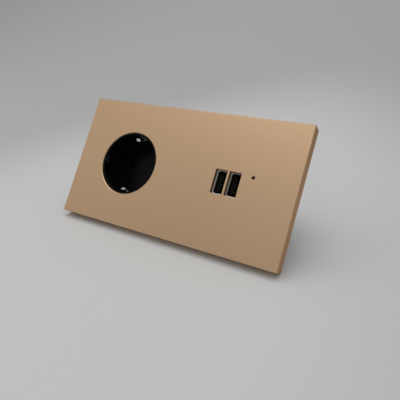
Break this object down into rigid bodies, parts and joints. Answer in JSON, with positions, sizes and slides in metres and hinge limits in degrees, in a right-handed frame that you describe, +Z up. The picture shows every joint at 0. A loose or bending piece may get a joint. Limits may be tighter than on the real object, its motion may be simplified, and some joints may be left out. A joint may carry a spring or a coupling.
{
  "type": "wall outlet",
  "caption": "Flush wall outlet for a double box: a round earthed mains socket with shutter beside USB charging ports and a pilot light, behind a plain metal cover.",
  "frame": {"origin": "on the wall's surface, midway between the two wall boxes, which is the centre of the four slots for the boxes' screws", "axes": "+Z up, +X to the right as seen from the room, +Y into the wall; the cover faces -Y"},
  "size_m": [0.152, 0.0392, 0.081],
  "materials": {
    "cover_metal": "satin anodised champagne, finely brushed",
    "brass": "bare, turned or stamped",
    "nickel_brass": "nickel-plated",
    "spring_steel": "bright strip and wire",
    "zinc_steel": "zinc-plated sheet",
    "screw_steel": "zinc-plated",
    "shell_steel": "nickel-plated sheet",
    "gold_contacts": "gold-plated",
    "black_gloss": "glossy black moulding",
    "black_matte": "fine-textured black moulding",
    "grey_plastic": "light grey moulding",
    "shutter_plastic": "dark moulding",
    "orange_plastic": "orange moulding",
    "tongue_plastic": "dark moulding",
    "clear_plastic": "smoked clear moulding",
    "lamp": "frosted chip",
    "board": "green solder mask",
    "ferrite": "sintered ferrite",
    "tape": "yellow tape",
    "sleeve": "dark blue sleeve",
    "block_plastic": "blue-grey moulding"
  },
  "bodies": {
    "outlet": {"cover_plate": "cover_metal", "cover_studs": "brass", "cover_clips": "spring_steel", "socket_frame": "zinc_steel", "charger_frame": "zinc_steel", "socket_well": "black_gloss", "shutter_spring": "spring_steel", "inner_cover": "grey_plastic", "socket_base": "grey_plastic", "live_contact": "brass", "neutral_contact": "brass", "earth_strap": "nickel_brass", "live_clamp_spring": "spring_steel", "earth_clamp_spring": "spring_steel", "neutral_clamp_spring": "spring_steel", "socket_screws": "screw_steel", "charger_screws": "screw_steel", "left_port_shell": "shell_steel", "left_port_contacts": "gold_contacts", "left_port_tongue": "tongue_plastic", "right_port_shell": "shell_steel", "right_port_contacts": "gold_contacts", "right_port_tongue": "tongue_plastic", "charger_front": "black_matte", "light_pipe": "clear_plastic", "pilot_lamp": "lamp", "port_board": "board", "port_board_screws": "screw_steel", "charger_body": "black_matte", "power_board": "board", "power_board_screws": "screw_steel", "board_link": "black_matte", "transformer_core": "ferrite", "transformer_winding": "tape", "input_capacitor": "sleeve", "output_capacitors": "sleeve", "choke": "ferrite", "fuse": "sleeve", "rectifier": "black_matte", "controller_chip": "black_matte", "terminal_block": "block_plastic", "terminal_cages": "brass", "terminal_screws": "screw_steel"},
    "shutter": {"shutter": "shutter_plastic"},
    "live_button": {"live_release_button": "orange_plastic"},
    "earth_button": {"earth_release_button": "orange_plastic"},
    "neutral_button": {"neutral_release_button": "orange_plastic"}
  },
  "joints": [
    {"name": "shutter_slide", "type": "slide", "parent": "outlet", "child": "shutter", "axis": [0, 0, 1], "range_m": [0, 0.0064], "stiffness_N_per_m": 60, "springref_m": -0.004, "deforming": ["shutter_spring"]},
    {"name": "live_release", "type": "slide", "parent": "outlet", "child": "live_button", "axis": [0, -1, 0], "range_m": [0, 0.0012], "stiffness_N_per_m": 600, "springref_m": -0.001},
    {"name": "earth_release", "type": "slide", "parent": "outlet", "child": "earth_button", "axis": [0, -1, 0], "range_m": [0, 0.0012], "stiffness_N_per_m": 600, "springref_m": -0.001},
    {"name": "neutral_release", "type": "slide", "parent": "outlet", "child": "neutral_button", "axis": [0, -1, 0], "range_m": [0, 0.0012], "stiffness_N_per_m": 600, "springref_m": -0.001}
  ]
}
